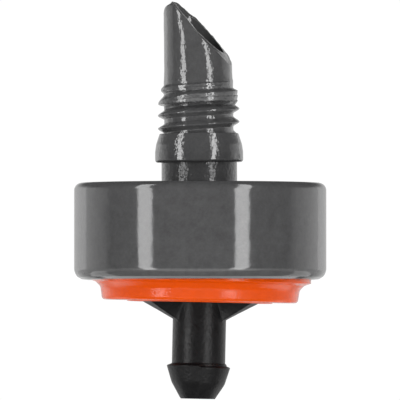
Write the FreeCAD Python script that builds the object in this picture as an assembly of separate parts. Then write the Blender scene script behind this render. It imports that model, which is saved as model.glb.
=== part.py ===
"""Pressure-compensating drip emitter: threaded piercing spike, drum housing, snap-in ring and barbed outlet.

Millimetres, +Z up the spike, origin on the axis at the drum's top face.
Water enters the open spike, passes the strainer, fills the chamber above the diaphragm, runs through
the labyrinth under the flow disc, comes up beneath the diaphragm and leaves through the seat and barb.
"""
import FreeCAD
import Part
import math
import os

from FreeCAD import Vector

# drum and skirt
DRUM_R = 11.35
DRUM_H = 8.8
DRUM_TOP_FILLET = 0.7
DRUM_RIM_R = 10.12
DRUM_RIM_RISE = 1.13
TOP_WALL = 1.5
SKIRT_BORE_R = 10.05
SHOULDER_R = 9.3
SHOULDER_Z = -6.15
CHAMBER_WALL_R = 7.95
CHAMBER_R = 7.15
CHAMBER_WALL_Z = -7.2
GROOVE_R = 10.3
GROOVE_Z = -7.3
GROOVE_HALF = 0.35

# neck, collar and spike
NECK_R = 3.4
NECK_H = 1.84
COLLAR_TOP_Z = 4.45
COLLAR_TOP_R = 3.55
COLLAR_MID_R = 3.96
COLLAR_CORNER = 0.24
SPIKE_R = 3.1
SPIKE_TOP_Z = 16.38
TIP_ROUND = 0.6
INLET_R = 2.25
BEVEL_ANGLE = 46.5
BEVEL_TOP_X = -2.17
BEVEL_TURN = -13.0

# external thread, right-handed
THREAD_PITCH = 1.17
THREAD_TURNS = 3.5
THREAD_START_Z = 4.3
THREAD_CREST_R = 3.68
THREAD_ROOT_HALF = 0.46
THREAD_CREST_HALF = 0.12

# retaining ring
RING_R = 9.97
RING_TOP_Z = -6.2
RING_BEAD_R = 10.25
RING_BEAD_HALF = 0.3
RING_LIP_Z = -8.88
RING_BODY_R = 8.97
RING_BODY_Z = -9.5
RING_FOOT_R = 8.8
RING_FOOT_CORNER = 0.3
RING_BOTTOM_Z = -10.67
RING_FLOOR_Z = -9.92
RING_BORE_R = 8.05
RING_HOLE_R = 6.0

# outlet nozzle
BASE_R = 8.0
BASE_TOP_Z = -8.1
BASE_BOTTOM_Z = -9.9
SHAFT_R = 2.4
SHAFT_FLARE = 0.35
OUTLET_R = 1.1
BARB_LEDGE_Z = -16.27
BARB_LEDGE_DROP = 0.24
BARB_R = 2.84
BARB_MID_R = 2.33
BARB_MID_Z = -18.2
BARB_END_R = 1.55
BARB_END_Z = -19.5
FIN_TURNS = (92.0, 212.0, 332.0)
FIN_THICK = 1.1
FIN_R = 5.75
FIN_END_Z = -12.35

# inner pieces
SEAL_MID_R = 7.55
SEAL_WIRE_R = 0.38
DISC_R = 6.95
DISC_FLOOR = 0.9
DISC_WALL_Z = -5.6
POCKET_R = 6.1
LEDGE_R = 5.2
LEDGE_Z = -6.62
SEAT_R = 1.8
SEAT_Z = -6.9
SEAT_HOLE_R = 0.6
NOTCH_W = 0.3
PORT_R = 0.35
LAB_INNER_R = 3.7
LAB_OUTER_R = 5.3
LAB_DEPTH = 0.5
LAB_TEETH = 22
LAB_TOOTH_T = 0.3
LAB_TOOTH_L = 1.05
LAB_SPAN = 320.0
DIAPHRAGM_R = 5.8
DIAPHRAGM_T = 1.0
DIAPHRAGM_LIFT = 0.35
STRAINER_R = 7.12
STRAINER_T = 0.9
STRAINER_SLOT_W = 0.45
STRAINER_ROWS = ((3.0, 4.6, 14), (5.2, 6.6, 22))
STRAINER_LEG_R = 0.5
STRAINER_LEG_AT = 4.9
PLENUM_H = 1.0
RIB_T = 0.8
RIB_INNER_R = 3.0
GAP = 0.02


def line(a, b):
    """Straight edge between two (r, z) points of a half section."""
    return Part.makeLine(Vector(a[0], 0, a[1]), Vector(b[0], 0, b[1]))


def arc(a, mid, b):
    """Arc through three (r, z) points of a half section."""
    return Part.Arc(Vector(a[0], 0, a[1]), Vector(mid[0], 0, mid[1]), Vector(b[0], 0, b[1])).toShape()


def corner(center, radius, start, end):
    """Arc of a given centre and radius between two angles in degrees, in (r, z)."""
    def at(angle):
        a = math.radians(angle)
        return center[0] + radius * math.cos(a), center[1] + radius * math.sin(a)
    return arc(at(start), at((start + end) / 2), at(end))


def turned(edges):
    """Solid of revolution about Z of a closed half section."""
    face = Part.Face(Part.Wire(edges))
    return face.revolve(Vector(0, 0, 0), Vector(0, 0, 1), 360)


def polygon(points):
    """Closed outline of straight edges through (r, z) points."""
    return [line(p, q) for p, q in zip(points, points[1:] + points[:1])]


def rod(radius, low, high, at=(0, 0)):
    """Vertical cylinder between two heights."""
    return Part.makeCylinder(radius, high - low, Vector(at[0], at[1], low))


def tube(outer, inner, low, high):
    """Vertical tube between two heights."""
    return rod(outer, low, high).cut(rod(inner, low - 1, high + 1))


def bar(inner, outer, width, low, high, turn):
    """Radial bar from one radius to another, turned about Z."""
    block = Part.makeBox(outer - inner, width, high - low, Vector(inner, -width / 2, low))
    block.rotate(Vector(0, 0, 0), Vector(0, 0, 1), turn)
    return block


def polar(radius, turn):
    """Point in plan at a radius and an angle in degrees."""
    a = math.radians(turn)
    return radius * math.cos(a), radius * math.sin(a)


def drum_and_spike():
    """Outer form of the grey moulding, still solid."""
    rim_mid = (DRUM_R - 0.3, -DRUM_H + 0.42)
    collar_low = NECK_H + COLLAR_CORNER
    side = COLLAR_MID_R - 0.05
    edges = [
        line((0, -DRUM_H), (DRUM_RIM_R, -DRUM_H)),
        arc((DRUM_RIM_R, -DRUM_H), rim_mid, (DRUM_R, -DRUM_H + DRUM_RIM_RISE)),
        line((DRUM_R, -DRUM_H + DRUM_RIM_RISE), (DRUM_R, -DRUM_TOP_FILLET)),
        corner((DRUM_R - DRUM_TOP_FILLET, -DRUM_TOP_FILLET), DRUM_TOP_FILLET, 0, 90),
        line((DRUM_R - DRUM_TOP_FILLET, 0), (NECK_R, 0)),
        line((NECK_R, 0), (NECK_R, NECK_H)),
        line((NECK_R, NECK_H), (side - COLLAR_CORNER, NECK_H)),
        corner((side - COLLAR_CORNER, collar_low), COLLAR_CORNER, -90, 0),
        arc((side, collar_low), (COLLAR_MID_R, NECK_H + 0.95), (COLLAR_TOP_R, COLLAR_TOP_Z)),
        line((COLLAR_TOP_R, COLLAR_TOP_Z), (SPIKE_R, COLLAR_TOP_Z)),
        line((SPIKE_R, COLLAR_TOP_Z), (SPIKE_R, SPIKE_TOP_Z - TIP_ROUND)),
        corner((SPIKE_R - TIP_ROUND, SPIKE_TOP_Z - TIP_ROUND), TIP_ROUND, 0, 90),
        line((SPIKE_R - TIP_ROUND, SPIKE_TOP_Z), (0, SPIKE_TOP_Z)),
        line((0, SPIKE_TOP_Z), (0, -DRUM_H)),
    ]
    return turned(edges)


def thread():
    """Single-start ridge wound round the spike's root, faded out at its upper end."""
    helix = Part.makeHelix(THREAD_PITCH, THREAD_PITCH * THREAD_TURNS, SPIKE_R)
    helix.translate(Vector(0, 0, THREAD_START_Z))
    buried = SPIKE_R - 0.1
    crest_side = THREAD_CREST_R - 0.06
    low, high = THREAD_START_Z - THREAD_ROOT_HALF, THREAD_START_Z + THREAD_ROOT_HALF
    crest_low, crest_high = THREAD_START_Z - THREAD_CREST_HALF, THREAD_START_Z + THREAD_CREST_HALF
    section = Part.Wire([
        line((buried, low), (crest_side, crest_low)),
        arc((crest_side, crest_low), (THREAD_CREST_R, THREAD_START_Z), (crest_side, crest_high)),
        line((crest_side, crest_high), (buried, high)),
        line((buried, high), (buried, low)),
    ])
    ridge = Part.Wire(helix.Edges).makePipeShell([section], True, True)
    top = THREAD_START_Z + THREAD_PITCH * THREAD_TURNS
    envelope = turned(polygon([
        (0, COLLAR_TOP_Z - 1.5),
        (THREAD_CREST_R + 1, COLLAR_TOP_Z - 1.5),
        (THREAD_CREST_R + 1, top - 0.9),
        (SPIKE_R, top + 0.45),
        (0, top + 0.45),
    ]))
    return ridge.common(envelope)


def bevel_cutter():
    """Block that slices the spike's tip to an open slanting mouth."""
    size = 20
    block = Part.makeBox(size, size, size, Vector(0, -size / 2, 0))
    block.rotate(Vector(0, 0, 0), Vector(0, 1, 0), BEVEL_ANGLE)
    block.translate(Vector(BEVEL_TOP_X, 0, SPIKE_TOP_Z))
    back = Part.makeBox(size, size, size, Vector(BEVEL_TOP_X, -size / 2, SPIKE_TOP_Z - 0.001))
    cutter = block.fuse(back)
    cutter.rotate(Vector(0, 0, 0), Vector(0, 0, 1), BEVEL_TURN)
    return cutter


def drum_cavity():
    """Hollow of the drum: the chamber, the space round its wall and the ring's seat with its groove."""
    chamber = rod(CHAMBER_R, -DRUM_H - 1, -TOP_WALL)
    outer = tube(SHOULDER_R, CHAMBER_WALL_R, SHOULDER_Z - 1, -TOP_WALL)
    seat = tube(SKIRT_BORE_R, CHAMBER_WALL_R, CHAMBER_WALL_Z, SHOULDER_Z)
    mouth = rod(SKIRT_BORE_R, -DRUM_H - 1, CHAMBER_WALL_Z)
    groove = turned(polygon([
        (SKIRT_BORE_R - 0.5, GROOVE_Z - GROOVE_HALF),
        (SKIRT_BORE_R, GROOVE_Z - GROOVE_HALF),
        (GROOVE_R, GROOVE_Z - GROOVE_HALF / 2),
        (GROOVE_R, GROOVE_Z + GROOVE_HALF),
        (SKIRT_BORE_R - 0.5, GROOVE_Z + GROOVE_HALF),
    ]))
    return chamber.multiFuse([outer, seat, mouth, groove])


def inlet_housing():
    """Grey moulding: spike, thread, sealing collar, neck and drum in one."""
    body = drum_and_spike().fuse(thread())
    body = body.cut(bevel_cutter())
    body = body.cut(drum_cavity())
    body = body.cut(rod(INLET_R, -TOP_WALL - 1, SPIKE_TOP_Z + 1))
    plenum_low = -TOP_WALL - PLENUM_H
    ribs = [bar(RIB_INNER_R, CHAMBER_R + 0.2, RIB_T, plenum_low, -TOP_WALL + 0.2, 90 * i) for i in range(4)]
    return body.multiFuse(ribs).removeSplitter()


def inlet_strainer():
    """Slotted disc held under the plenum ribs, with three legs that stop the diaphragm's lift."""
    high = -TOP_WALL - PLENUM_H - GAP
    low = high - STRAINER_T
    slots = []
    for inner, outer, count in STRAINER_ROWS:
        for i in range(count):
            slots.append(bar(inner, outer, STRAINER_SLOT_W, low - 1, high + 1, 360 * i / count))
    disc = rod(STRAINER_R, low, high).cut(Part.makeCompound(slots))
    leg_low = LEDGE_Z + GAP + DIAPHRAGM_T + DIAPHRAGM_LIFT + GAP
    legs = [rod(STRAINER_LEG_R, leg_low, low + 0.1, polar(STRAINER_LEG_AT, 30 + 120 * i)) for i in range(3)]
    return disc.multiFuse(legs)


def labyrinth_channel():
    """Toothed channel cut in the flow disc's underside, with its radial feed."""
    floor = BASE_TOP_Z + GAP
    top = floor + LAB_DEPTH
    ring = tube(LAB_OUTER_R, LAB_INNER_R, floor - 1, top)
    wedge = Part.makeCylinder(LAB_OUTER_R + 1, 3, Vector(0, 0, floor - 1), Vector(0, 0, 1), LAB_SPAN)
    channel = ring.common(wedge)
    step = LAB_SPAN / (LAB_TEETH + 1)
    teeth = []
    for i in range(LAB_TEETH):
        from_inside = i % 2 == 0
        inner = LAB_INNER_R - 0.2 if from_inside else LAB_OUTER_R - LAB_TOOTH_L
        outer = LAB_INNER_R + LAB_TOOTH_L if from_inside else LAB_OUTER_R + 0.2
        teeth.append(bar(inner, outer, LAB_TOOTH_T, floor - 1.1, top + 0.1, step * (i + 1)))
    channel = channel.cut(Part.makeCompound(teeth))
    feed_turn = step / 2
    feed = bar(LAB_OUTER_R - 0.2, (POCKET_R + DISC_R) / 2, 2 * PORT_R, floor - 1, top, feed_turn)
    return channel.fuse(feed), feed_turn, LAB_SPAN - step / 2


def labyrinth_disc():
    """Flow disc: diaphragm pocket above, outlet seat in the middle, labyrinth beneath."""
    floor = BASE_TOP_Z + GAP
    disc = turned(polygon([
        (0, floor),
        (DISC_R, floor),
        (DISC_R, DISC_WALL_Z),
        (POCKET_R, DISC_WALL_Z),
        (POCKET_R, LEDGE_Z),
        (LEDGE_R, LEDGE_Z),
        (LEDGE_R, floor + DISC_FLOOR),
        (SEAT_R, floor + DISC_FLOOR),
        (SEAT_R, SEAT_Z),
        (0, SEAT_Z),
    ]))
    channel, feed_turn, end_turn = labyrinth_channel()
    wall_middle = (POCKET_R + DISC_R) / 2
    feed_port = rod(PORT_R, floor - 1, DISC_WALL_Z + 1, polar(wall_middle, feed_turn))
    rise_port = rod(PORT_R, floor - 1, floor + DISC_FLOOR + 1, polar(LAB_INNER_R + 0.4, end_turn))
    seat_hole = rod(SEAT_HOLE_R, floor - 1, SEAT_Z + 1)
    notch = bar(SEAT_HOLE_R - 0.2, SEAT_R + 0.2, NOTCH_W, SEAT_Z - 0.15, SEAT_Z + 1, 45)
    return disc.cut(Part.makeCompound([channel, feed_port])).cut(rise_port).cut(seat_hole).cut(notch)


def diaphragm():
    """Loose silicone disc on the pocket's ledge."""
    low = LEDGE_Z + GAP
    high = low + DIAPHRAGM_T
    edge = 0.15
    return turned(polygon([
        (0, low),
        (DIAPHRAGM_R - edge, low),
        (DIAPHRAGM_R, low + edge),
        (DIAPHRAGM_R, high - edge),
        (DIAPHRAGM_R - edge, high),
        (0, high),
    ]))


def seal_ring():
    """O-ring between the chamber wall's lower end and the nozzle's base."""
    middle = (CHAMBER_WALL_Z + BASE_TOP_Z) / 2
    return Part.makeTorus(SEAL_MID_R, SEAL_WIRE_R, Vector(0, 0, middle))


def fin(turn):
    """Triangular gusset between the shaft and the nozzle's base."""
    face = Part.Face(Part.Wire(polygon([
        (OUTLET_R + 0.6, BASE_BOTTOM_Z + 0.2),
        (FIN_R, BASE_BOTTOM_Z + 0.2),
        (FIN_R, RING_BOTTOM_Z),
        (SHAFT_R - 0.05, FIN_END_Z),
        (OUTLET_R + 0.6, FIN_END_Z),
    ])))
    web = face.extrude(Vector(0, FIN_THICK, 0))
    web.translate(Vector(0, -FIN_THICK / 2, 0))
    web.rotate(Vector(0, 0, 0), Vector(0, 0, 1), turn)
    return web


def outlet_nozzle():
    """Black moulding: base disc, shaft with three fins and a single-barb tail."""
    flare_low = RING_BOTTOM_Z - SHAFT_FLARE
    barb_z = BARB_LEDGE_Z - BARB_LEDGE_DROP
    edges = [
        line((OUTLET_R, BASE_TOP_Z), (BASE_R, BASE_TOP_Z)),
        line((BASE_R, BASE_TOP_Z), (BASE_R, BASE_BOTTOM_Z)),
        line((BASE_R, BASE_BOTTOM_Z), (SHAFT_R + SHAFT_FLARE, BASE_BOTTOM_Z)),
        line((SHAFT_R + SHAFT_FLARE, BASE_BOTTOM_Z), (SHAFT_R + SHAFT_FLARE, RING_BOTTOM_Z)),
        corner((SHAFT_R + SHAFT_FLARE, flare_low), SHAFT_FLARE, 90, 180),
        line((SHAFT_R, flare_low), (SHAFT_R, BARB_LEDGE_Z)),
        line((SHAFT_R, BARB_LEDGE_Z), (BARB_R, barb_z)),
        arc((BARB_R, barb_z), (BARB_MID_R, BARB_MID_Z), (BARB_END_R, BARB_END_Z)),
        line((BARB_END_R, BARB_END_Z), (OUTLET_R, BARB_END_Z)),
        line((OUTLET_R, BARB_END_Z), (OUTLET_R, BASE_TOP_Z)),
    ]
    return turned(edges).multiFuse([fin(turn) for turn in FIN_TURNS]).removeSplitter()


def retaining_ring():
    """Orange cup-shaped ring that snaps into the skirt and holds the nozzle's base up."""
    cove = (RING_BODY_R + 0.22, RING_BODY_Z + 0.28)
    foot = RING_BOTTOM_Z + RING_FOOT_CORNER
    bead_low, bead_high = GROOVE_Z - RING_BEAD_HALF, GROOVE_Z + RING_BEAD_HALF
    edges = [
        line((RING_HOLE_R, RING_BOTTOM_Z), (RING_FOOT_R - RING_FOOT_CORNER, RING_BOTTOM_Z)),
        corner((RING_FOOT_R - RING_FOOT_CORNER, foot), RING_FOOT_CORNER, -90, 0),
        line((RING_FOOT_R, foot), (RING_BODY_R, RING_BODY_Z)),
        arc((RING_BODY_R, RING_BODY_Z), cove, (RING_R, RING_LIP_Z)),
        line((RING_R, RING_LIP_Z), (RING_R, bead_low)),
        line((RING_R, bead_low), (RING_BEAD_R, bead_low + RING_BEAD_HALF / 2)),
        line((RING_BEAD_R, bead_low + RING_BEAD_HALF / 2), (RING_BEAD_R, GROOVE_Z)),
        line((RING_BEAD_R, GROOVE_Z), (RING_R, bead_high)),
        line((RING_R, bead_high), (RING_R, RING_TOP_Z)),
        line((RING_R, RING_TOP_Z), (RING_BORE_R, RING_TOP_Z)),
        line((RING_BORE_R, RING_TOP_Z), (RING_BORE_R, RING_FLOOR_Z)),
        line((RING_BORE_R, RING_FLOOR_Z), (RING_HOLE_R, RING_FLOOR_Z)),
        line((RING_HOLE_R, RING_FLOOR_Z), (RING_HOLE_R, RING_BOTTOM_Z)),
    ]
    return turned(edges)


PIECES = {
    "inlet_housing": inlet_housing,
    "inlet_strainer": inlet_strainer,
    "labyrinth_disc": labyrinth_disc,
    "diaphragm": diaphragm,
    "seal_ring": seal_ring,
    "outlet_nozzle": outlet_nozzle,
    "retaining_ring": retaining_ring,
}

os.makedirs("parts", exist_ok=True)
for name, make in PIECES.items():
    shape = make()
    print(name, shape.isValid(), len(shape.Solids), round(shape.Volume, 3))
    shape.exportStep(f"parts/{name}.step")
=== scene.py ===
"""Drip emitter: grey threaded housing, orange snap-in ring and black barbed nozzle around the CAD frame.

Shapes are in millimetres in the part's own frame, +Z up, and their meshes are made in metres.
The studio around them is in metres.
"""

import math

import bpy
from mathutils import Matrix, Vector, noise


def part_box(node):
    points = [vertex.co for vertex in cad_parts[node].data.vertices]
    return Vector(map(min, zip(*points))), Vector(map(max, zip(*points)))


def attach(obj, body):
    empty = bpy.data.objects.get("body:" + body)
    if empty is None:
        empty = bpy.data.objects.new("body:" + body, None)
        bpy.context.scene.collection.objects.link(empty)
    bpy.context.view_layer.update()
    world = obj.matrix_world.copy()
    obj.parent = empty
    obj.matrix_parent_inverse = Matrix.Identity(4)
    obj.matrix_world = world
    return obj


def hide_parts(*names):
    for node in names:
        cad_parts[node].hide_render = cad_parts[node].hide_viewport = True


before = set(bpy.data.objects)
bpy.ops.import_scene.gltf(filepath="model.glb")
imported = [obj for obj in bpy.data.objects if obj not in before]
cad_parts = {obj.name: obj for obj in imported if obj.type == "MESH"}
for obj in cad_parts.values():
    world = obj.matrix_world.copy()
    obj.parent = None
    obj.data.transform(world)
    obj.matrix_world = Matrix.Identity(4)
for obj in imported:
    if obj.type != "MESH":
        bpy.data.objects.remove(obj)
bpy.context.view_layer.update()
MM = 0.001


def box_mm(node):
    """Lowest and highest corner of a CAD node, in millimetres."""
    return [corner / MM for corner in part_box(node)]


HOUSING_LOW, HOUSING_HIGH = box_mm("inlet_housing")
NOZZLE_LOW, NOZZLE_HIGH = box_mm("outlet_nozzle")
RING_LOW, RING_HIGH = box_mm("retaining_ring")

# housing, outside
DRUM_R = HOUSING_HIGH.x
DRUM_Z = HOUSING_LOW.z
SPIKE_TOP = HOUSING_HIGH.z
SPIKE_ROOT_R = 3.1
SPIKE_TIP_R = 3.07
COLLAR_R = 3.96
NECK_R = 3.4
NECK_TOP = 1.84
UNEVEN = 0.012

# housing, inside
INLET_BORE_R = 2.25
SKIRT_R = 10.05
GROOVE_R = 10.3
SHOULDER_R = 9.3
SHOULDER_Z = -6.15
CHAMBER_OUTER_R = 7.95
CHAMBER_R = 7.15
CHAMBER_Z = -7.2
CEILING_Z = -1.5

# the spike stands to the left of the drum's axis and leans further with height
LEAN_START = 0.075
LEAN = 0.01

# slanting cut of the spike's end: it falls away from a flat stepped tip on the left
CUT_SLOPE = math.tan(math.radians(46.5))
CUT_TURN = math.radians(-13.0)
CUT_START_X = -2.17
CUT_FOOT_Z = 9.2
CUT_SWEEP = 0.4
CUT_RAGGED = 0.12
CUT_DRAWN_IN = 0.17
LOW_END_DROP = 0.3
TIP_STEP = 0.22
TIP_CORNER = 0.75

# scuffed spot on the collar
SCUFF_ANGLE = math.radians(331.0)
SCUFF_Z = 2.3
SCUFF_HALF_WIDTH = 0.5
SCUFF_HALF_HEIGHT = 0.24
SCUFF_DEPTH = 0.1

# thread, right-handed; a groove undercuts its broad third turn
PITCH = 1.17
THREAD_Z = 4.3
FACET_DEPTH = 0.075
UNDERCUT_BELOW = 0.36
UNDERCUT_DEPTH = 0.3
# turns from the start, crest height, flat and flank below the crest's line, flat and flank above it
THREAD = [
    (-0.1, 0.0, 0.03, 0.4, 0.03, 0.47),
    (0.1, 0.57, 0.03, 0.4, 0.03, 0.47),
    (0.5, 0.57, 0.03, 0.4, 0.03, 0.4),
    (1.0, 0.57, 0.03, 0.4, 0.03, 0.47),
    (1.5, 0.57, 0.03, 0.33, 0.03, 0.47),
    (1.75, 0.57, 0.03, 0.4, 0.03, 0.66),
    (2.0, 0.57, 0.03, 0.4, 0.03, 0.47),
    (2.3, 0.57, 0.03, 0.4, 0.03, 0.47),
    (2.5, 0.52, 0.17, 0.1, 0.0, 0.7),
    (2.75, 0.48, 0.28, 0.12, 0.45, 0.32),
    (3.0, 0.44, 0.42, 0.7, 0.46, 0.25),
    (3.25, 0.4, 0.3, 0.6, 0.3, 0.2),
    (3.5, 0.27, 0.1, 0.3, 0.05, 0.35),
    (3.75, 0.22, 0.38, 0.12, 0.15, 0.1),
    (4.0, 0.0, 0.3, 0.1, 0.15, 0.06),
]

# ring and nozzle sit slightly askew below the drum's mouth
ASKEW = math.tan(math.radians(1.2))
ASKEW_FROM = -8.2
ASKEW_TO = -8.9

# ring
RING_R = 9.97
RING_BORE_R = 8.05
RING_OPENING_R = 6.0
RING_FLOOR_Z = -9.92
RING_LIP = 0.1

# nozzle
NOZZLE_BASE_R = 8.0
NOZZLE_BASE_Z = -9.9
OUTLET_BORE_R = 1.1
SHAFT_R = 2.4
BARB_R = 2.86
BARB_Z = -16.27
BARB_MISMATCH = 0.15
FIN_R = 5.87
FIN_HALF = 0.3
FIN_FLARE = 0.2
FIN_FLARE_POWER = 1.75
FIN_ANGLES = [math.radians(a) for a in (92.0, 212.0, 332.0)]
FIN_TOP_Z = -10.67
FIN_END_Z = -12.42


# ---------------------------------------------------------------- values

def smooth(low, high, x):
    """0 before low, 1 after high, smooth between."""
    t = min(max((x - low) / (high - low), 0.0), 1.0)
    return t * t * (3 - 2 * t)


def soft_max(a, b, width):
    """Larger of two values, rounded over a width."""
    h = max(width - abs(a - b), 0.0) / width
    return max(a, b) + h * h * width / 4


def soft_min(a, b, width):
    """Smaller of two values, rounded over a width."""
    return -soft_max(-a, -b, width)


def wobble(x, y, z, size):
    """Smooth noise of about one unit, with features of the given size."""
    return noise.noise(Vector((x / size, y / size, z / size)))


# ---------------------------------------------------------------- outlines and meshes

GUARD = 0.04
SHARP_EDGE = math.radians(40)


def fillet(before, corner, after, radius):
    """Arc that rounds a corner between its two neighbours, in more steps where it's larger.

    With no radius it's the corner itself.
    """
    if radius == 0:
        return [corner]
    back = (before - corner).normalized()
    ahead = (after - corner).normalized()
    half = back.angle(ahead) / 2
    centre = corner + (back + ahead).normalized() * radius / math.sin(half)
    first = corner + back * radius / math.tan(half) - centre
    last = corner + ahead * radius / math.tan(half) - centre
    turn = first.angle_signed(last)
    steps = max(3, math.ceil(abs(turn) * (4 + 8 * radius)))
    return [centre + Matrix.Rotation(-turn * k / steps, 2) @ first for k in range(steps + 1)]


def straight_run(start, end, step):
    """Points between two fillets, about a step apart.

    One more point close to each end keeps the flat wall's shading flat up to the fillet.
    """
    length = (end - start).length
    parts = math.ceil(length / step)
    guard = min(GUARD / length, 0.25 / parts)
    shares = [guard] + [k / parts for k in range(1, parts)] + [1 - guard]
    return [start.lerp(end, share) for share in shares]


def rounded(points):
    """Closed outline through (r, z, fillet, step) corners; the step is for the run that follows."""
    corners = [Vector(point[:2]) for point in points]
    count = len(corners)
    arcs = []
    for i, corner in enumerate(corners):
        arcs.append(fillet(corners[i - 1], corner, corners[(i + 1) % count], points[i][2]))
    outline = []
    for i, arc in enumerate(arcs):
        outline += arc
        outline += straight_run(arc[-1], arcs[(i + 1) % count][0], points[i][3])
    return [(p.x, p.y) for p in outline]


def mesh_object(name, vertices, faces):
    """Smooth-shaded object from millimetre vertices, with its sharp edges kept."""
    mesh = bpy.data.meshes.new(name)
    mesh.from_pydata([Vector(v) * MM for v in vertices], [], faces)
    mesh.validate()
    mesh.shade_smooth()
    mesh.set_sharp_from_angle(angle=SHARP_EDGE)
    made = bpy.data.objects.new(name, mesh)
    bpy.context.scene.collection.objects.link(made)
    return made


def lathe(name, outline, columns, place):
    """Closed body of revolution; place(r, z, angle) gives each vertex, so it can depart from round."""
    angles = [2 * math.pi * i / columns for i in range(columns)]
    vertices = [place(r, z, a) for r, z in outline for a in angles]
    rows = len(outline)
    faces = []
    for j in range(rows):
        low = j * columns
        high = (j + 1) % rows * columns
        for i in range(columns):
            k = (i + 1) % columns
            faces.append((low + i, high + i, high + k, low + k))
    return mesh_object(name, vertices, faces)


# ---------------------------------------------------------------- housing

def cut_height(x, y):
    """Height of the spike's open end above a point in plan: stepped tip, then the slanting uneven cut."""
    along = x * math.cos(CUT_TURN) + y * math.sin(CUT_TURN)
    sweep = smooth(-2.6, -2.0, x) * (1 - smooth(-0.9, 0.0, x)) * (smooth(-1.0, 1.0, y) - 0.4)
    slant = SPIKE_TOP - CUT_SLOPE * (along - CUT_START_X) - CUT_SWEEP * sweep
    tip = SPIKE_TOP - TIP_STEP * (1 - smooth(-2.4, -2.28, x))
    height = soft_min(tip, slant, 0.2)
    past_corner = min(max((-2.3 - x) / TIP_CORNER, 0.0), 1.0)
    height -= TIP_CORNER * (1 - math.sqrt(1 - past_corner ** 2))
    height -= LOW_END_DROP * smooth(2.3, 3.1, along)
    patchy = abs(wobble(x, y, 3.0, 0.9)) * 2.5
    ragged = wobble(x, y, 0.0, 0.35) * CUT_RAGGED * patchy * smooth(-1.0, 2.0, y)
    return min(height + ragged, SPIKE_TOP)


def cut_end(r, z, angle, outside):
    """Spike's vertex brought down to the cut; near it the outside is drawn in a little."""
    end = cut_height(r * math.cos(angle), r * math.sin(angle))
    share = (z - CUT_FOOT_Z) / (SPIKE_TOP - CUT_FOOT_Z)
    z = CUT_FOOT_Z + share * (end - CUT_FOOT_Z)
    if outside:
        near_end = 1 - min((end - z) / 2.0, 1.0)
        along = r * math.cos(angle - CUT_TURN)
        side = smooth(-2.9, -1.9, along) * (1 - 0.8 * smooth(1.5, 3.0, along))
        r -= CUT_DRAWN_IN * near_end ** 2 * side
    return r, z


def ridge_shape(along):
    """Crest height, flats and flanks of the thread at a number of turns from its start."""
    for low, high in zip(THREAD, THREAD[1:]):
        if along < high[0]:
            share = smooth(low[0], high[0], along)
            return [a + (b - a) * share for a, b in zip(low[1:], high[1:])]


def ridge_height(along, offset):
    """Height of the thread's ridge at an offset above its line; a broad crest has two facets."""
    crest, flat_down, flank_down, flat_up, flank_up = ridge_shape(along)
    past = (offset - flat_up) / flank_up if offset > 0 else (-offset - flat_down) / flank_down
    height = crest * (1 - 0.45 * smooth(0.0, 1.0, past) - 0.55 * min(max(past, 0.0), 1.0))
    if past < 0:
        facet = (offset + flat_down) / (flat_up + flat_down) * 2 % 1
        height -= FACET_DEPTH * (1 - facet) * smooth(0.3, 0.8, flat_up + flat_down)
    return height


def thread_height(z, angle):
    """How far the thread stands out of the spike's root at a height and angle."""
    turn = angle / (2 * math.pi)
    nearest = math.floor((z - THREAD_Z) / PITCH - turn)
    height = 0.0
    for ridge in (nearest, nearest + 1):
        along = ridge + turn
        if THREAD[0][0] < along < THREAD[-1][0]:
            height = max(height, ridge_height(along, z - THREAD_Z - along * PITCH))
    return height + UNEVEN * wobble(angle * 3, z, 0.0, 0.25)


def undercut(z, angle):
    """Depth of the groove below the thread's broad third turn, on the front only."""
    turn = angle / (2 * math.pi)
    below = THREAD_Z + (2 + turn) * PITCH - UNDERCUT_BELOW - z
    front = smooth(0.5, 0.58, turn) * (1 - smooth(0.9, 1.0, turn))
    return UNDERCUT_DEPTH * smooth(0.0, 0.08, below) * (1 - smooth(0.2, 0.6, below)) * front


def scuff(z, angle):
    """Depth of the collar's scuffed spot, in slanting scratches."""
    across = (angle - SCUFF_ANGLE) * COLLAR_R
    away = math.hypot(across / SCUFF_HALF_WIDTH, (z - SCUFF_Z) / SCUFF_HALF_HEIGHT)
    return SCUFF_DEPTH * (1 - smooth(0.4, 1.0, away)) * (0.5 + 1.2 * wobble(across + z, 0.0, 0.0, 0.12))


def lean(x, y, z):
    """Moves the neck and spike off the drum's axis and leans them; the drum's wall stays."""
    share = smooth(-1.0, 0.0, z) * (1 - smooth(4.2, 6.0, math.hypot(x, y)))
    return x - (LEAN_START + LEAN * z) * share, y, z + LEAN * x * share * smooth(0.0, 1.0, z)


def place_housing(r, z, angle):
    """Housing vertex: thread on the spike's root, cut at its end, slight unevenness of the moulding."""
    outside = r > (INLET_BORE_R + SPIKE_ROOT_R) / 2
    if outside and THREAD_Z < z < CUT_FOOT_Z:
        r = soft_max(r, SPIKE_ROOT_R + thread_height(z, angle), 0.06) - undercut(z, angle)
    if r < SPIKE_ROOT_R + 0.1 and z > CUT_FOOT_Z:
        r, z = cut_end(r, z, angle, outside)
    if outside and z > 0.3 and r < 5:
        r += UNEVEN * wobble(math.cos(angle) * 3, math.sin(angle) * 3, z, 0.9) - scuff(z, angle)
    return lean(r * math.cos(angle), r * math.sin(angle), z)


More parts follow.
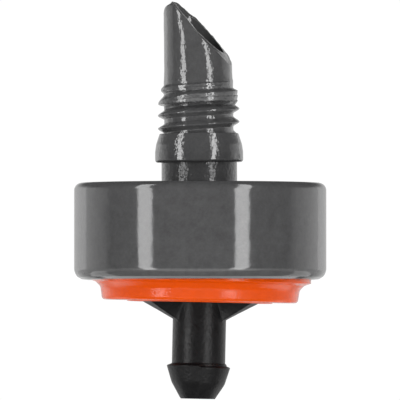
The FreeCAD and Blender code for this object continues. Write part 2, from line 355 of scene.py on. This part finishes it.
def housing():
    """Grey moulding: spike, thread, collar, neck and drum, down the outside and back up the inside."""
    outline = rounded([
        (SPIKE_TIP_R, SPIKE_TOP, 0.15, 0.16),
        (SPIKE_TIP_R, 10.3, 0, 0.12),
        (SPIKE_ROOT_R + 0.01, CUT_FOOT_Z, 0, 0.045),
        (SPIKE_ROOT_R, 4.42, 0.05, 0.2),
        (3.54, 4.45, 0.12, 0.1),
        (3.87, 3.45, 0.9, 0.1),
        (COLLAR_R, 2.8, 0.9, 0.2),
        (COLLAR_R, NECK_TOP, 0.24, 0.2),
        (NECK_R, NECK_TOP, 0.05, 0.15),
        (NECK_R, 0, 0.1, 0.5),
        (DRUM_R, 0, 0.7, 0.5),
        (DRUM_R, -8.15, 1.1, 0.4),
        (11.02, -8.48, 0.1, 0.2),
        (10.65, -8.68, 0.08, 0.2),
        (SKIRT_R, DRUM_Z + 0.05, 0.06, 0.2),
        (SKIRT_R, -7.65, 0, 0.4),
        (GROOVE_R, -7.5, 0, 0.4),
        (GROOVE_R, -6.95, 0, 0.4),
        (SKIRT_R, -6.95, 0, 0.4),
        (SKIRT_R, SHOULDER_Z, 0, 0.4),
        (SHOULDER_R, SHOULDER_Z, 0, 1),
        (SHOULDER_R, CEILING_Z, 0.3, 1),
        (CHAMBER_OUTER_R, CEILING_Z, 0.3, 1),
        (CHAMBER_OUTER_R, CHAMBER_Z, 0.1, 1),
        (CHAMBER_R, CHAMBER_Z, 0.1, 1),
        (CHAMBER_R, CEILING_Z, 0.3, 1),
        (INLET_BORE_R, CEILING_Z, 0.1, 1),
        (INLET_BORE_R, CUT_FOOT_Z, 0, 0.2),
        (INLET_BORE_R, SPIKE_TOP, 0.07, 0.2),
    ])
    return lathe("housing_moulding", outline, 360, place_housing)


# ---------------------------------------------------------------- ring and nozzle

def askew(x, y, z):
    """Tilt of the ring and nozzle below the drum's mouth; above it they stay straight."""
    share = smooth(-ASKEW_FROM, -ASKEW_TO, -z) * ASKEW
    return x + (z - ASKEW_TO) * share, y, z - x * share


def place_ring(r, z, angle):
    """Ring vertex: round, and askew below the drum's mouth."""
    return askew(r * math.cos(angle), r * math.sin(angle), z)


def ring():
    """Orange ring: snap bead inside the drum, coved and drafted body below it, lip round its opening."""
    bottom = RING_LOW.z
    outline = rounded([
        (RING_R, -8.88, 0.06, 0.2),
        (9.4, -9.08, 0.15, 0.2),
        (8.97, -9.5, 0.5, 0.2),
        (8.8, bottom, 0.32, 0.4),
        (RING_OPENING_R + 0.6, bottom, 0.05, 0.2),
        (RING_OPENING_R + 0.5, bottom - RING_LIP, 0.05, 0.2),
        (RING_OPENING_R, bottom - RING_LIP, 0.05, 0.2),
        (RING_OPENING_R, RING_FLOOR_Z, 0.05, 0.5),
        (RING_BORE_R, RING_FLOOR_Z, 0.1, 0.5),
        (RING_BORE_R, RING_HIGH.z, 0.1, 0.5),
        (RING_R, RING_HIGH.z, 0.1, 0.3),
        (RING_R, -7.0, 0, 0.2),
        (10.25, -7.3, 0, 0.2),
        (10.25, -7.45, 0, 0.2),
        (RING_R, -7.6, 0, 0.3),
    ])
    return lathe("ring_moulding", outline, 256, place_ring)


def fin_reach(z):
    """Radius of the fins' outer edge at a height."""
    if z > FIN_TOP_Z:
        return FIN_R
    return FIN_R + (SHAFT_R - FIN_R) * (FIN_TOP_Z - z) / (FIN_TOP_Z - FIN_END_Z)


def fin_radius(z, angle):
    """Radius at which the nearest fin's plate ends in this direction; the plates thicken upwards."""
    away = min(abs((angle - a + math.pi) % (2 * math.pi) - math.pi) for a in FIN_ANGLES)
    half = FIN_HALF + FIN_FLARE * max(z - FIN_END_Z, 0.0) ** FIN_FLARE_POWER
    side = half / max(math.sin(min(away, math.pi / 2)), 0.01)
    return soft_min(fin_reach(z), side, 0.14)


def place_nozzle(r, z, angle):
    """Nozzle vertex: fins on the shaft, and the barb's two mould halves a little out of line."""
    if 2.3 < r < 3.2 and FIN_END_Z - 0.6 < z < NOZZLE_BASE_Z - 0.05:
        r = soft_max(r, fin_radius(z, angle), 0.3)
    x = r * math.cos(angle)
    y = r * math.sin(angle)
    if z < BARB_Z - 0.05 and r > 1.3:
        z -= BARB_MISMATCH * smooth(0.0, 0.25, x) * smooth(NOZZLE_LOW.z, NOZZLE_LOW.z + 1.5, z)
    return askew(x, y, z)


def nozzle():
    """Black moulding: base disc, fins, shaft, barb and through bore."""
    end = NOZZLE_LOW.z + 0.06
    outline = rounded([
        (OUTLET_BORE_R, NOZZLE_HIGH.z, 0, 2),
        (NOZZLE_BASE_R, NOZZLE_HIGH.z, 0.1, 0.5),
        (NOZZLE_BASE_R, NOZZLE_BASE_Z, 0.1, 1),
        (SHAFT_R, NOZZLE_BASE_Z, 0.1, 0.08),
        (SHAFT_R, BARB_Z, 0.12, 0.1),
        (BARB_R, BARB_Z - 0.19, 0.05, 0.15),
        (2.4, -17.95, 1.6, 0.15),
        (1.55, end, 0.1, 0.1),
        (OUTLET_BORE_R, end, 0.08, 0.5),
    ])
    return lathe("nozzle_moulding", outline, 480, place_nozzle)


# ---------------------------------------------------------------- shader nodes

def add(tree, kind, sockets=None, **settings):
    """New shader node's outputs; each socket takes another node's output or a plain value."""
    made = tree.nodes.new("ShaderNode" + kind)
    for name, value in settings.items():
        setattr(made, name, value)
    for socket, value in (sockets or {}).items():
        if isinstance(value, bpy.types.NodeSocket):
            tree.links.new(value, made.inputs[socket])
        else:
            made.inputs[socket].default_value = value
    return made.outputs


def spread(tree, value, low, high, start=0.3, end=0.7, **settings):
    """Value mapped from start..end to low..high."""
    limits = {"From Min": start, "From Max": end, "To Min": low, "To Max": high}
    return add(tree, "MapRange", {"Value": value, **limits}, **settings)["Result"]


def ramp(tree, value, stops):
    """Grey level that follows a value through (position, level) stops."""
    level_out = add(tree, "ValToRGB", {"Fac": value})["Color"]
    elements = level_out.node.color_ramp.elements
    for _ in range(len(stops) - len(elements)):
        elements.new(0.5)
    for element, (place, level) in zip(elements, stops):
        element.position = place
        element.color = (level, level, level, 1)
    return level_out


def multiply(tree, first, second):
    """Product of two values."""
    return add(tree, "Math", {0: first, 1: second}, operation="MULTIPLY")["Value"]


def choose(tree, share, first, second):
    """First shader at a share of 0, second at 1."""
    return add(tree, "MixShader", {"Fac": share, 1: first, 2: second})["Shader"]


def principled(name):
    """New material, its node tree, its Principled shader and the object's coordinates."""
    material = bpy.data.materials.new(name)
    material.use_nodes = True
    tree = material.node_tree
    coords = add(tree, "TexCoord")["Object"]
    return material, tree, tree.nodes["Principled BSDF"], coords


# ---------------------------------------------------------------- materials

# the grey skin by height: (millimetres, grain strength, specular level)
# smooth drum, dull rough neck, glossy speckled collar and thread, smoother end
GREY_SKIN = [
    (0.0, 0.03, 0.5),
    (0.4, 1.0, 0.3),
    (1.8, 1.0, 0.3),
    (2.0, 0.5, 0.7),
    (9.0, 0.5, 0.7),
    (9.5, 0.36, 0.6),
]

# places of the Mix node's two colours among its inputs, and of its colour among its outputs
MIX_FIRST = 6
MIX_SECOND = 7
MIX_COLOUR = 2


def speckle(tree, coords, size_mm, detail, roughness=0.5):
    """Noise with features of a given size in millimetres."""
    sockets = {"Vector": coords, "Scale": 1 / (size_mm * MM), "Detail": detail, "Roughness": roughness}
    return add(tree, "TexNoise", sockets)["Fac"]


def mottle(tree, coords, colour, shift):
    """Colour that varies by a share of itself, in patches and specks."""
    share = spread(tree, speckle(tree, coords, 1.2, 4.0, 0.9), 0, 1)
    darker = (*(c * (1 - shift) for c in colour), 1)
    lighter = (*(c * (1 + shift) for c in colour), 1)
    sockets = {0: share, MIX_FIRST: darker, MIX_SECOND: lighter}
    return add(tree, "Mix", sockets, data_type="RGBA")[MIX_COLOUR]


def vary_skin(tree, coords, skin, bump, bsdf):
    """Grain strength and specular level that follow the height through the skin's steps."""
    height = add(tree, "SeparateXYZ", {"Vector": coords})["Z"]
    low = skin[0][0]
    high = skin[-1][0]
    share = spread(tree, height, 0, 1, low * MM, high * MM)
    strengths = [((z - low) / (high - low), strength) for z, strength, _ in skin]
    levels = [((z - low) / (high - low), level) for z, _, level in skin]
    tree.links.new(ramp(tree, share, strengths), bump.inputs["Strength"])
    tree.links.new(ramp(tree, share, levels), bsdf.inputs["Specular IOR Level"])


def moulded(name, colour, shift, roughness, peel, grain, soft=0.0, ior=1.5, skin=()):
    """Moulded plastic: mottled colour, uneven gloss, orange peel and fine grain.

    Roughness is a (low, high) range. Peel and grain are (size, depth) in millimetres.
    """
    material, tree, bsdf, coords = principled(name)
    gloss = spread(tree, speckle(tree, coords, 0.5, 5.0, 0.6), *roughness)
    waves = add(tree, "Bump", {"Distance": peel[1] * MM, "Height": speckle(tree, coords, peel[0], 2.0)})
    fine = add(tree, "Bump", {
        "Distance": grain[1] * MM,
        "Height": speckle(tree, coords, grain[0], 1.0),
        "Normal": waves["Normal"],
    })["Normal"]
    tree.links.new(mottle(tree, coords, colour, shift), bsdf.inputs["Base Color"])
    tree.links.new(gloss, bsdf.inputs["Roughness"])
    tree.links.new(fine, bsdf.inputs["Normal"])
    if skin:
        vary_skin(tree, coords, skin, fine.node, bsdf)
    bsdf.inputs["IOR"].default_value = ior
    bsdf.inputs["Subsurface Weight"].default_value = soft
    bsdf.inputs["Subsurface Scale"].default_value = 0.4 * MM
    return material


def grey_plastic():
    """Hard glossy grey of the housing."""
    return moulded(
        "grey_plastic", (0.068, 0.068, 0.069), shift=0.16, roughness=(0.07, 0.12),
        peel=(1.6, 0.016), grain=(0.25, 0.052), skin=GREY_SKIN,
    )


def orange_plastic():
    """Bright glossy orange of the ring."""
    return moulded(
        "orange_plastic", (0.64, 0.066, 0.001), shift=0.05, roughness=(0.09, 0.15),
        peel=(0.5, 0.01), grain=(0.2, 0.022), ior=1.3,
    )


def black_plastic():
    """Satin black of the nozzle."""
    return moulded(
        "black_plastic", (0.006, 0.006, 0.0063), shift=0.4, roughness=(0.33, 0.43),
        peel=(0.4, 0.008), grain=(0.25, 0.03), ior=1.3,
    )


def natural_plastic():
    """Uncoloured, slightly see-through plastic of the strainer and flow disc."""
    return moulded(
        "natural_plastic", (0.70, 0.69, 0.64), shift=0.04, roughness=(0.35, 0.5),
        peel=(0.5, 0.008), grain=(0.08, 0.003), soft=0.2,
    )


def silicone():
    """Milky silicone of the diaphragm."""
    return moulded(
        "silicone", (0.60, 0.60, 0.58), shift=0.03, roughness=(0.4, 0.55),
        peel=(0.6, 0.01), grain=(0.06, 0.003), soft=0.4,
    )


def seal_rubber():
    """Black rubber of the O-ring."""
    return moulded(
        "seal_rubber", (0.015, 0.015, 0.015), shift=0.2, roughness=(0.45, 0.6),
        peel=(0.5, 0.01), grain=(0.05, 0.004),
    )


# ---------------------------------------------------------------- pieces

def dress(piece, material):
    """Gives a piece one material."""
    piece.data.materials.clear()
    piece.data.materials.append(material)


def build():
    """Makes the mouldings in view, dresses every piece and sets each moulding on its body."""
    visible = [
        (housing(), "inlet_housing", "housing", "grey_plastic", grey_plastic()),
        (ring(), "retaining_ring", "outlet", "orange_plastic", orange_plastic()),
        (nozzle(), "outlet_nozzle", "outlet", "black_plastic", black_plastic()),
    ]
    for piece, node, body, slot, material in visible:
        dress(piece, material)
        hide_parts(node)
        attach(piece, body)
    natural = natural_plastic()
    inner = {
        "inlet_strainer": natural,
        "labyrinth_disc": natural,
        "diaphragm": silicone(),
        "seal_ring": seal_rubber(),
    }
    for node, material in inner.items():
        dress(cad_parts[node], material)


# ---------------------------------------------------------------- studio

FLOOR_Z = -0.22
FLOOR_HALF = 1.5
STRIP_DISTANCE = 0.5
STRIP_LOW = -0.2
STRIP_HIGH = 0.85
STRIP_LEAN = math.radians(12.0)
GLOW_WIDTH = 1.2
# brightness of the surroundings from the side (0) to straight behind the object (1)
SCREEN = [
    (0.0, 0.03),
    (0.05, 0.2),
    (0.12, 0.42),
    (0.25, 0.62),
    (0.45, 0.8),
    (0.68, 0.85),
    (0.8, 0.68),
    (1.0, 0.35),
]
WHITE = (1, 1, 1, 1)


def direction(azimuth, elevation):
    """Unit vector from the object; azimuth 0 is towards the camera's side, positive to its right."""
    a = math.radians(azimuth)
    e = math.radians(elevation)
    return Vector((math.sin(a) * math.cos(e), -math.cos(a) * math.cos(e), math.sin(e)))


def aim(thing, place, target):
    """Puts a light or camera at a place, facing the target."""
    thing.location = place
    thing.rotation_euler = (target - place).to_track_quat("-Z", "Y").to_euler()


def panel_light(name, width, height, radiance, place, target, roll=0.0):
    """Rectangular light of a given size and radiance, facing a target and rolled about its own axis."""
    data = bpy.data.lights.new(name, "AREA")
    data.shape = "RECTANGLE"
    data.size = width
    data.size_y = height
    data.energy = radiance * math.pi * width * height
    lamp = bpy.data.objects.new(name, data)
    lamp.visible_camera = False
    bpy.context.scene.collection.objects.link(lamp)
    aim(lamp, place, target)
    lamp.rotation_euler.rotate_axis("Z", roll)


def tall_strip(name, azimuth, width, radiance):
    """Strip of studio light beside the camera. It leans outwards from the point level with the object."""
    middle = Vector((0, 0, (STRIP_LOW + STRIP_HIGH) / 2))
    roll = -math.copysign(STRIP_LEAN, azimuth)
    facing = direction(azimuth, 0)
    target = middle + facing.cross(middle) * math.tan(roll)
    place = target + facing * STRIP_DISTANCE
    panel_light(name, width, STRIP_HIGH - STRIP_LOW, radiance, place, target, roll)


def floor_glow(name, y, depth, radiance):
    """Wide panel lying just above the floor and facing up, some way in front of or behind the object."""
    place = Vector((0, y, FLOOR_Z + 0.005))
    panel_light(name, GLOW_WIDTH, depth, radiance, place, Vector((0, y, 1)))


def surroundings(tree):
    """Light from all round: dark in front, a screen behind, stronger straight behind and fading upwards."""
    axes = add(tree, "SeparateXYZ", {"Vector": add(tree, "TexCoord")["Generated"]})
    screen = ramp(tree, axes["Y"], SCREEN)
    behind = add(tree, "Math", {0: axes["X"], 1: -0.07, 2: axes["Y"]}, operation="MULTIPLY_ADD")["Value"]
    panel = spread(tree, behind, 1.3, 1.9, 0.67, 0.69)
    fade = spread(tree, axes["Z"], 1.0, 0.1, 0.12, 0.4, interpolation_type="SMOOTHSTEP")
    sockets = {"Color": screen, "Strength": multiply(tree, panel, fade)}
    return add(tree, "Background", sockets)["Background"]


def studio_world():
    """World that is plain white to the eye and lights the object with its surroundings."""
    world = bpy.data.worlds.new("studio")
    world.use_nodes = True
    tree = world.node_tree
    tree.nodes.clear()
    backdrop = add(tree, "Background", {"Color": WHITE, "Strength": 1.02})["Background"]
    seen = add(tree, "LightPath")["Is Camera Ray"]
    add(tree, "OutputWorld", {"Surface": choose(tree, seen, surroundings(tree), backdrop)})
    bpy.context.scene.world = world


def floor_material():
    """Pale matt surface that is seen from above only.

    It glows, a painted light that grows with the distance, so the floor is painted darker near the object.
    Near the object its image in glossy reflections is a plain dark grey with no glow, a painted shade.
    """
    material, tree, bsdf, coords = principled("pale_floor")
    bsdf.inputs["Base Color"].default_value = (0.86, 0.86, 0.85, 1)
    bsdf.inputs["Roughness"].default_value = 0.9
    bsdf.inputs["Emission Color"].default_value = WHITE
    away = add(tree, "VectorMath", {0: coords}, operation="LENGTH")["Value"]
    # painted light: the floor glows, weakly near the object and more further away
    tree.links.new(spread(tree, away, 0.2, 0.7, 0.4, 0.9), bsdf.inputs["Emission Strength"])
    # painted shade: glossy rays near the object see a dark grey in place of the lit floor
    near = spread(tree, away, 1, 0, 0.47, 0.53)
    reflection_shade_share = multiply(tree, add(tree, "LightPath")["Is Glossy Ray"], near)
    shaded_reflection = add(tree, "BsdfDiffuse", {"Color": (0.35, 0.35, 0.35, 1)})["BSDF"]
    top = choose(tree, reflection_shade_share, bsdf.outputs["BSDF"], shaded_reflection)
    from_below = add(tree, "NewGeometry")["Backfacing"]
    clear = add(tree, "BsdfTransparent")["BSDF"]
    surface = choose(tree, from_below, top, clear)
    tree.links.new(surface, tree.nodes["Material Output"].inputs["Surface"])
    return material


def pale_floor():
    """Pale floor under the object, with a painted glow and painted shade in its reflections."""
    around = ((-1, -1), (1, -1), (1, 1), (-1, 1))
    corners = [(x * FLOOR_HALF, y * FLOOR_HALF, FLOOR_Z) for x, y in around]
    mesh = bpy.data.meshes.new("floor")
    mesh.from_pydata(corners, [], [(0, 1, 2, 3)])
    floor = bpy.data.objects.new("floor", mesh)
    bpy.context.scene.collection.objects.link(floor)
    dress(floor, floor_material())


def long_camera(elevation, distance, width_mm, target):
    """Long-lens camera that frames a given width at the object's distance."""
    data = bpy.data.cameras.new("camera")
    data.lens = data.sensor_width * distance / (width_mm * MM)
    data.clip_start = distance * 0.1
    data.clip_end = distance * 20
    camera = bpy.data.objects.new("camera", data)
    bpy.context.scene.collection.objects.link(camera)
    aim(camera, target + direction(0, elevation) * distance, target)
    bpy.context.scene.camera = camera


def studio():
    """Surroundings, floor, lights and camera."""
    studio_world()
    pale_floor()
    tall_strip("left_strip", azimuth=-51.2, width=0.12, radiance=7.6)
    tall_strip("right_strip", azimuth=38.3, width=0.118, radiance=8.1)
    floor_glow("table_glow", y=-0.43, depth=0.35, radiance=1.2)
    floor_glow("under_glow", y=0.215, depth=0.23, radiance=1.25)
    target = Vector((-0.02 * MM, 0, -1.55 * MM))
    long_camera(elevation=-0.9, distance=0.9, width_mm=36.0, target=target)
    bpy.context.scene.view_settings.view_transform = "Standard"


build()
studio()
